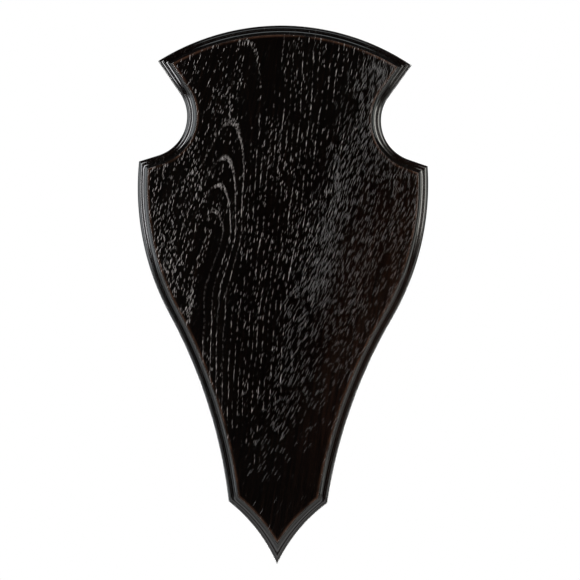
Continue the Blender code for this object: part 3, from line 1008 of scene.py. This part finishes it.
def makeScrews():
    # made about +Z as one skin, with the head's underside on the strap
    seatY = strapLow.y + strapThick
    for place, turn in screwShape["turned"].items():
        node = "hanger_screw_" + place.lower()
        low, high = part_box(node)
        top, tip = (high.y - seatY) / mm, (low.y - seatY) / mm
        seat = facingWall(0, seatY, (low.z + high.z) / 2)
        bm = bmesh.new()
        closedSkin(bm, threadLoops(tip) + headLoops((high.x - low.x) / 2 / mm, top))
        bm.transform(seat)
        screw = pieceFrom("screw" + place, bm, [yellowSteel])
        cutters = []
        for bm in crossCutter(top, turn):
            bm.transform(seat)
            cutters.append(pieceFrom("crossCutter", bm, [yellowSteel]))
        cutAway(screw, cutters)
        smoothBelow(screw, 38)
        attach(screw, "plaque")
        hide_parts(node)
    print("screws: heads, crosses and threads done")


padShape = dict(
    roundEdge=0.45,
    edgeSteps=6,
    footEdge=0.12,
    sides=96,
    rings=16,
    wobble=0.12,  # how unevenly the punch cut the rim
    dents=0.05,
    fibres=340,
    rimShare=0.55,  # share of the fibres that stand out of the rim
    fibreWidth=0.035,
    fibreLength=(0.35, 0.9),
    glueInset=0.22,  # from the felt's rim to the glue's
    glueSides=72,
)


def padLoops(radius, thick, seed):
    # about +Z with the wall side up, from the board to the wall
    p = padShape
    curve, foot = p["roundEdge"], p["footEdge"]
    profile = [(radius * 0.5, 0.0), (radius - 0.15, 0.0), (radius, foot)]
    profile += [(radius, thick * 0.4), (radius, thick - curve)]
    for i in range(1, p["edgeSteps"] + 1):
        a = quarterTurn * i / p["edgeSteps"]
        profile.append((radius - curve * (1 - math.cos(a)), thick - curve * (1 - math.sin(a))))
    profile += [(radius * (1 - i / p["rings"]), thick) for i in range(1, p["rings"])]
    loops = []
    for r, z in profile:
        loop = []
        for i in range(p["sides"]):
            a = math.tau * i / p["sides"]
            way = Vector((math.cos(a), math.sin(a), 0))
            rim = (noise.noise(way * 2.3 + seed) + noise.noise(way * 9 + seed)) * p["wobble"] / 2
            inward = (abs(rim) + 0.02) * (r / radius) ** 4
            sunk = p["dents"] * (0.5 + 0.5 * noise.noise(way * r * 1.1 + seed)) if z > thick / 2 else 0
            loop.append((way * (r - inward) + Vector((0, 0, z - sunk))) * mm)
        loops.append(loop)
    return loops


def addFibre(bm, root, way, length, chance):
    # one thin three-sided hair that bends over
    bend = Vector((chance.uniform(-1, 1), chance.uniform(-1, 1), chance.uniform(-0.8, 0.1)))
    loops = []
    for i in range(4):
        t = i / 3
        middle = root + way * length * t + bend * length * 0.45 * t * t
        thick = padShape["fibreWidth"] * mm / 2 * (1 - 0.75 * t)
        flat = way.orthogonal().normalized()
        other = way.cross(flat).normalized()
        loops.append([middle + (flat * math.cos(a) + other * math.sin(a)) * thick for a in (0, 2.1, 4.2)])
    closedSkin(bm, loops)


def addFibres(bm, radius, thick, chance):
    p = padShape
    for _ in range(p["fibres"]):
        a = chance.uniform(0, math.tau)
        out = Vector((math.cos(a), math.sin(a), 0))
        onRim = chance.random() < p["rimShare"]
        r = radius - 0.3 if onRim else radius * math.sqrt(chance.random()) * 0.93
        z = chance.uniform(0.3, thick - 0.5) if onRim else thick - 0.12
        way = Vector((chance.uniform(-1, 1), chance.uniform(-1, 1), chance.uniform(-0.3, 0.3)))
        way = (way * 0.6 + out if onRim else way).normalized()
        length = chance.uniform(*p["fibreLength"]) * mm * (0.9 if onRim else 0.5)
        addFibre(bm, (out * r + Vector((0, 0, z))) * mm, way, length, chance)


def keepInside(bm, radius, thick):
    # the loose fibres stay within the pad's own disc
    for vert in bm.verts:
        vert.co.z = min(vert.co.z, (thick - 0.01) * mm)
        out = vert.co.xy.length
        if out > radius * mm:
            vert.co.xy *= radius * mm / out


def makePad(place, felt):
    node = "wall_pad_" + place.lower()
    low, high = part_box(node)
    middle = (low + high) / 2
    radius, thick = (high.x - low.x) / 2 / mm, (high.y - low.y) / mm
    chance = random.Random("felt" + place)
    seed = Vector((chance.uniform(0, 90), chance.uniform(0, 90), 0))
    bm = bmesh.new()
    closedSkin(bm, padLoops(radius, thick, seed))
    addFibres(bm, radius, thick, chance)
    keepInside(bm, radius, thick)
    bm.transform(facingWall(middle.x, low.y, middle.z))
    pad = pieceFrom("pad" + place, bm, [felt], 60)
    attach(pad, "plaque")
    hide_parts(node)


def makePadGlue(place, glue):
    # the film that holds the pad to the board, a little bulged at its rim
    low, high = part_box("wall_pad_" + place.lower())
    middle = (low + high) / 2
    film = (low.y - backY) / mm
    rim = (high.x - low.x) / 2 / mm - padShape["glueInset"]
    profile = [(rim - 0.28, 0), (rim - 0.06, 0.06), (rim, film / 2)]
    profile += [(rim - 0.06, film - 0.03), (rim - 0.38, film)]
    bm = bmesh.new()
    closedSkin(bm, turnedLoops([(r * mm, z * mm) for r, z in profile], padShape["glueSides"]))
    bm.transform(facingWall(middle.x, backY, middle.z))
    disc = pieceFrom("padGlue" + place, bm, [glue])
    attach(disc, "plaque")


def makePads():
    felt, glue = feltMaterial(), glueMaterial()
    for place in ("Left", "Right", "Lower"):
        makePad(place, felt)
        makePadGlue(place, glue)
    print("pads: felt and glue done")


makeBoard()
makeStrap()
makeRing()
makeScrews()
makePads()


studio = dict(
    # light from all sides, from the camera's round to the back
    ambient=[(0.0, 0.008), (0.25, 0.02), (0.5, 0.05), (1.0, 0.07)],
    ambientTint=(0.95, 0.985, 1.0),
    floorDrop=0.26,  # from the lowest point down to the floor
    floorReach=(1.3, 0.3, 1.9),  # to the sides, towards the camera, and behind
    paper=((0.80, 0.80, 0.79), (0.84, 0.84, 0.83)),
)
# where each stands, what it points at, its two sides, its power in watts, its colour
softboxes = dict(
    leftKey=((-0.70, -1.16, 0.26), (0, 0, 0.06), (0.24, 0.74), 10.0, (0.98, 0.98, 1.0)),
    leftFill=((-1.18, -0.52, 0.20), (0, 0, 0), (0.70, 1.1), 8.0, (0.92, 0.97, 1.0)),
    leftSide=((-1.40, 0.10, 0.10), (0, 0, 0), (0.9, 1.2), 7.0, (0.88, 0.95, 1.0)),
    rightKey=((0.94, -0.88, 0.28), (0, 0, 0.06), (0.40, 0.75), 9.5, (1.0, 0.99, 0.92)),
    rightFill=((0.66, -1.20, 0.30), (0, 0, 0), (0.20, 0.8), 1.8, (1.0, 0.98, 0.92)),
    rightSide=((1.35, -0.25, 0.10), (0, 0, 0), (0.7, 1.1), 5.5, (0.94, 1.0, 0.95)),
    lowLeft=((-0.72, -0.60, -0.42), (0, 0, -0.05), (0.26, 0.50), 0.55, (0.92, 0.97, 1.0)),
    lowRight=((0.72, -0.60, -0.42), (0, 0, -0.05), (0.26, 0.50), 0.42, (1.0, 0.99, 0.94)),
    overhead=((0.0, -0.85, 1.16), (0, 0, 0.05), (0.9, 0.34), 2.4, (0.90, 0.98, 1.0)),
    underneath=((0.0, -0.55, -0.36), (0, 0, -0.05), (0.9, 0.2), 1.0, (1.0, 1.0, 1.0)),
    behind=((0.9, 2.2, 1.3), (0, 0, 0), (1.6, 1.6), 28.0, (1.0, 0.99, 0.97)),
)
# lamps that point straight down and light only the floor
floorWash = dict(
    height=2.3,
    side=1.0,
    power=15.0,
    spread=25.0,  # degrees
    places=[(-0.75, 1.15), (0.75, 1.15)],
)
cameraSettings = dict(
    lens=192.0,
    sensor=36,
    place=(0.0045, -1.62, 0.0026),
    roll=-0.9,  # degrees
)


def areaLight(name, place, aim, size, power, colour):
    light = bpy.data.lights.new(name, "AREA")
    light.shape = "RECTANGLE"
    light.size, light.size_y = size
    light.energy = power
    light.color = colour
    obj = bpy.data.objects.new(name, light)
    bpy.context.scene.collection.objects.link(obj)
    obj.location = place
    obj.rotation_euler = (Vector(aim) - Vector(place)).to_track_quat("-Z", "Y").to_euler()
    return obj


def makeWorld():
    # white behind the object; the light it gives comes softly from all sides but the camera's
    world = bpy.data.worlds.new("studio")
    bpy.context.scene.world = world
    world.use_nodes = True
    tree = world.node_tree
    way = tree.nodes.new("ShaderNodeTexCoord")
    split = tree.nodes.new("ShaderNodeSeparateXYZ")
    share = tree.nodes.new("ShaderNodeMapRange")
    ramp = tree.nodes.new("ShaderNodeValToRGB")
    path = tree.nodes.new("ShaderNodeLightPath")
    mix = tree.nodes.new("ShaderNodeMix")
    mix.data_type = "RGBA"
    mix.inputs[7].default_value = (1, 1, 1, 1)
    share.inputs[1].default_value = -1  # its lowest value in, where 0 is usual
    tree.links.new(way.outputs["Generated"], split.inputs[0])
    tree.links.new(split.outputs["Y"], share.inputs[0])
    tree.links.new(share.outputs[0], ramp.inputs[0])
    tree.links.new(ramp.outputs[0], mix.inputs[6])
    tree.links.new(path.outputs["Is Camera Ray"], mix.inputs[0])
    tree.links.new(mix.outputs[2], tree.nodes["Background"].inputs["Color"])
    tint = studio["ambientTint"]
    setStops(ramp.color_ramp, [(at, [level * part for part in tint]) for at, level in studio["ambient"]])


def makeFloor():
    aside, front, back = studio["floorReach"]
    height = boardLow.z - studio["floorDrop"]
    corners = [(-aside, -front), (aside, -front), (aside, back), (-aside, back)]
    bm = bmesh.new()
    bm.faces.new([bm.verts.new((x, y, height)) for x, y in corners])
    n = Nodes("palePaper")
    tooth = n.noise(n.scaled(n.place, 3.0, 3.0, 3.0), 3.0)
    n.set(Base_Color=n.mixed(tooth, *studio["paper"]), Roughness=0.85)
    pieceFrom("floor", bm, [n.material])


def makeStage():
    bpy.context.scene.view_settings.view_transform = "Standard"
    makeWorld()
    for name, settings in softboxes.items():
        areaLight(name, *settings)
    wash = floorWash
    size = (wash["side"], wash["side"])
    for number, (x, y) in enumerate(wash["places"], 1):
        place = (x, y, wash["height"])
        lamp = areaLight(f"floorWash{number}", place, (x, y, 0), size, wash["power"], (1, 1, 1))
        lamp.data.spread = math.radians(wash["spread"])
    makeFloor()


def makeCamera():
    lens = bpy.data.cameras.new("camera")
    lens.lens = cameraSettings["lens"]
    lens.sensor_width = cameraSettings["sensor"]
    camera = bpy.data.objects.new("camera", lens)
    bpy.context.scene.collection.objects.link(camera)
    camera.location = cameraSettings["place"]
    camera.rotation_euler = (quarterTurn, math.radians(cameraSettings["roll"]), 0)
    bpy.context.scene.camera = camera


makeStage()
makeCamera()
print("studio ready")
